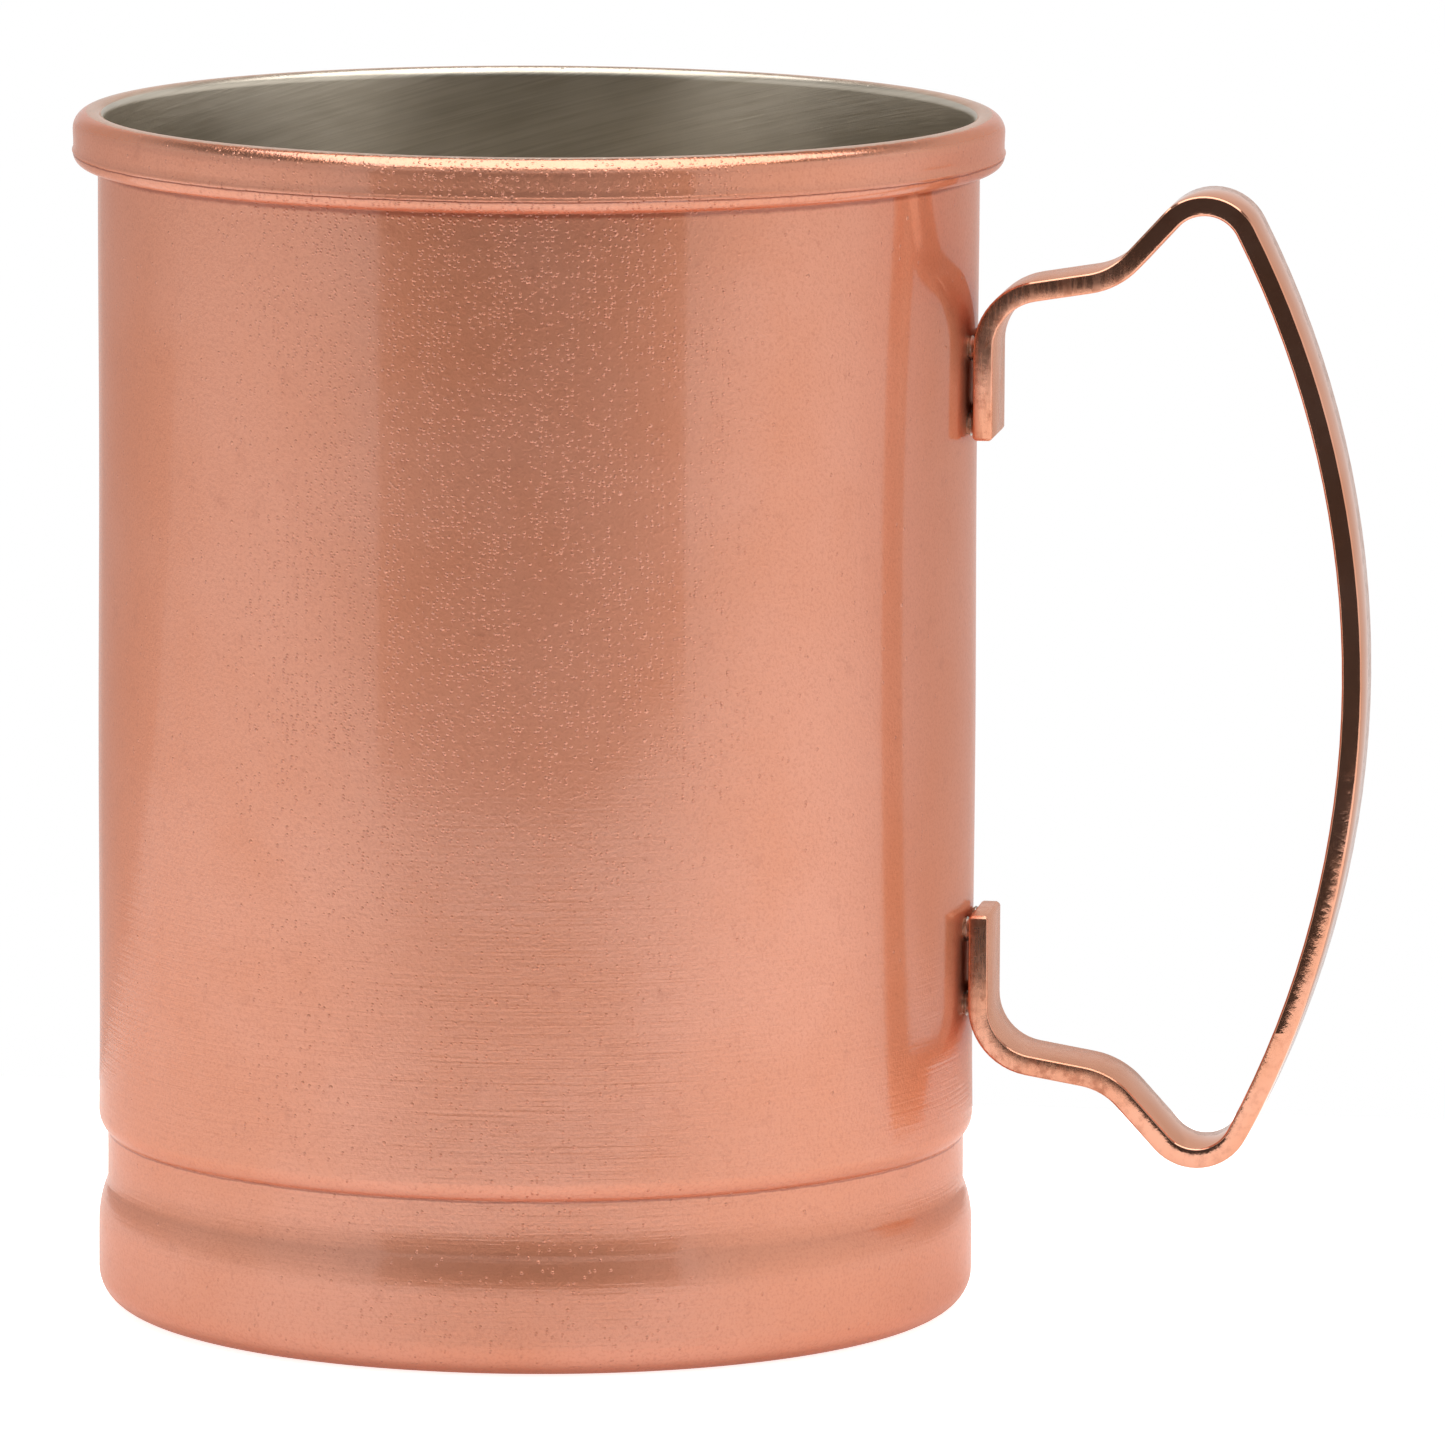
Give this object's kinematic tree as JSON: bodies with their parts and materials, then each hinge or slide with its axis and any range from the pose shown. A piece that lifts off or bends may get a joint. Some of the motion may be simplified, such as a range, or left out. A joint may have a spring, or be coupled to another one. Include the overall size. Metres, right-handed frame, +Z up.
{
  "type": "copper mug",
  "caption": "Straight-sided copper-plated steel mug with a rolled rim, a stepped foot and a bent flat-strip handle.",
  "frame": {"origin": "on the cup's axis, at the plane that the mug rests on", "axes": "+Z up along the cup's axis, +X from the axis through the handle, +Y across the handle's strip"},
  "size_m": [0.1301, 0.0932, 0.1203],
  "materials": {
    "copper_plate": "satin copper plate outside, bare brushed stainless steel inside",
    "polished_copper_plate": "bright copper plate on polished flat steel strip",
    "braze": "silver brazing filler",
    "bare_steel": "resistance weld nuggets"
  },
  "bodies": {
    "root": {"cup_wall": "copper_plate", "base_cup": "copper_plate", "seam_braze": "braze", "handle_strap": "polished_copper_plate", "upper_welds": "bare_steel", "lower_welds": "bare_steel"}
  },
  "joints": []
}
